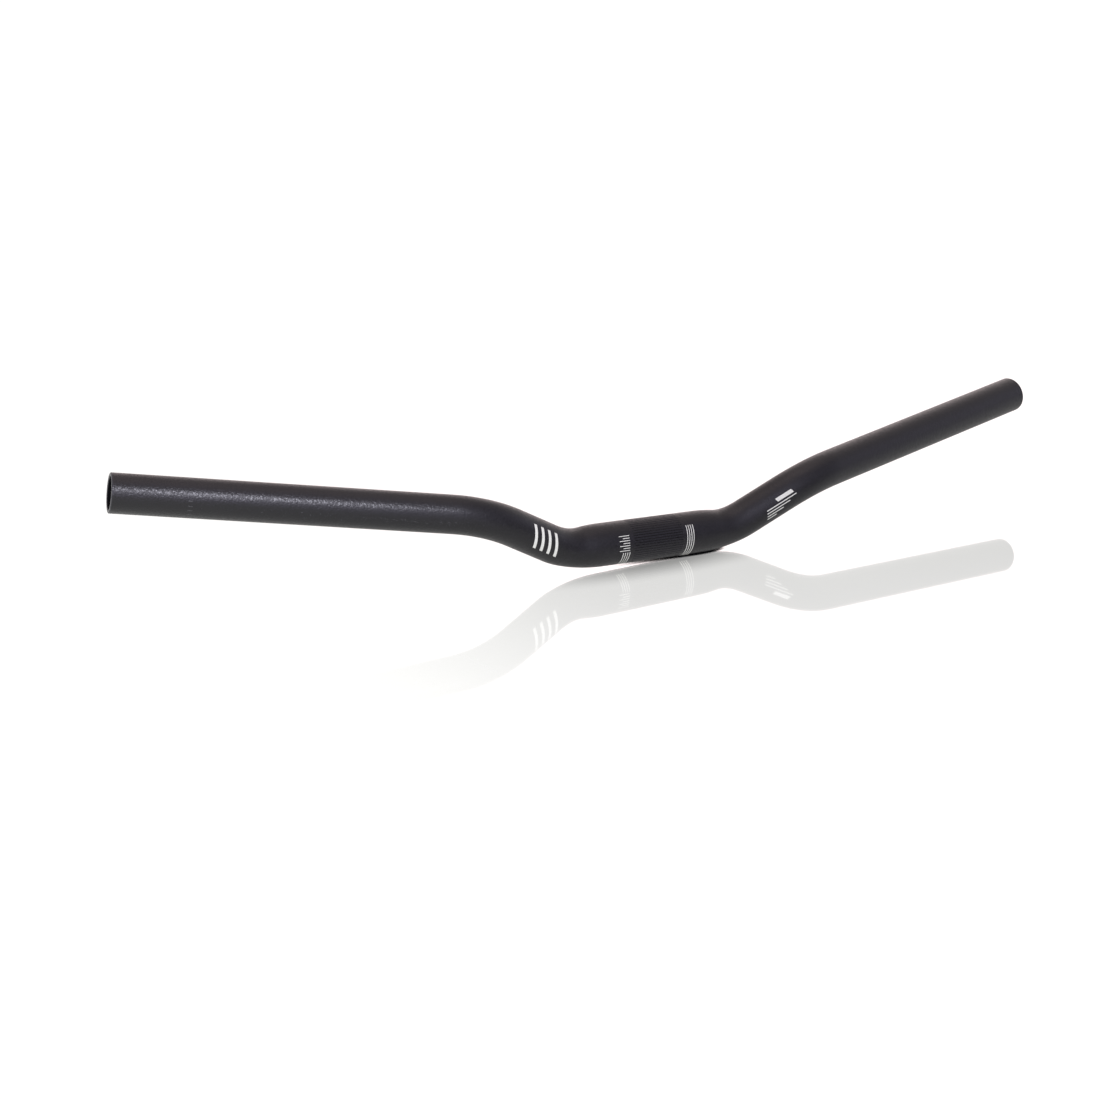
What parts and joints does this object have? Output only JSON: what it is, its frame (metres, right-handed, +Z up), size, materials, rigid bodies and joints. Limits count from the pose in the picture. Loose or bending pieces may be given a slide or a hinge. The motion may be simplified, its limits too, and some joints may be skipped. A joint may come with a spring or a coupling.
{
  "type": "riser handlebar",
  "caption": "Riser handlebar bent from a satin black butted tube: knurled clamp section in the middle, raised and swept-back straight grips, open chamfered ends.",
  "frame": {"origin": "centre of the clamp section, on the tube's axis", "axes": "+X along the clamp's axis, towards the viewer's right when the bar is seen from the front of the bicycle; +Y back towards the rider, the way the grips sweep; +Z up, the way the grips rise. The bar is rolled 11.5 degrees forward about X, as in the picture."},
  "size_m": [0.6358, 0.073, 0.0743],
  "materials": {
    "satin_black": "fine blasted and anodised satin black",
    "print_white": "thin white screen print, matt"
  },
  "bodies": {
    "root": {"handlebar": "satin_black"}
  },
  "joints": []
}
